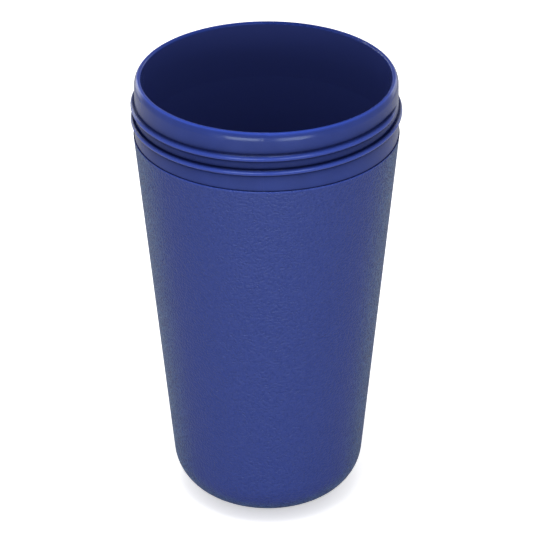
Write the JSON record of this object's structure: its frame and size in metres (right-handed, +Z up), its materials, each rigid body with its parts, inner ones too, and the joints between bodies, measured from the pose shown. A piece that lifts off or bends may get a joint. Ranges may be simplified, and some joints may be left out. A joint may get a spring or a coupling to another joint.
{
  "type": "rock tumbler barrel",
  "caption": "Tapered round tumbling barrel with rounded foot and threaded neck, with a ribbed screw lid and flat ring gasket lifted clear above the mouth.",
  "frame": {"origin": "centre of the base plane that the barrel stands on", "axes": "+Z up along the barrel's axis, from the base to the mouth; -Y is the front, the side that faces the viewer"},
  "size_m": [0.1674, 0.1674, 0.4003],
  "materials": {
    "barrel_plastic": "dark blue, glossy neck, fine-grained matte wall",
    "lid_plastic": "dark blue, satin",
    "gasket_rubber": "black, matte"
  },
  "bodies": {
    "barrel": {"barrel": "barrel_plastic"},
    "gasket": {"lid_gasket": "gasket_rubber"},
    "lid": {"lid": "lid_plastic"}
  },
  "joints": [
    {"name": "lid_travel", "type": "slide", "parent": "barrel", "child": "gasket", "axis": [0, 0, 1], "range_m": [-0.1232, 0]},
    {"name": "lid_turn", "type": "hinge", "parent": "gasket", "child": "lid", "pos_m": [0, 0, 0.361], "axis": [0, 0, 1], "range_deg": [-5040, 0]}
  ],
  "couplings": [
    {"joint": "lid_travel", "follows": "lid_turn", "m_per_rad": 0.0014006}
  ]
}
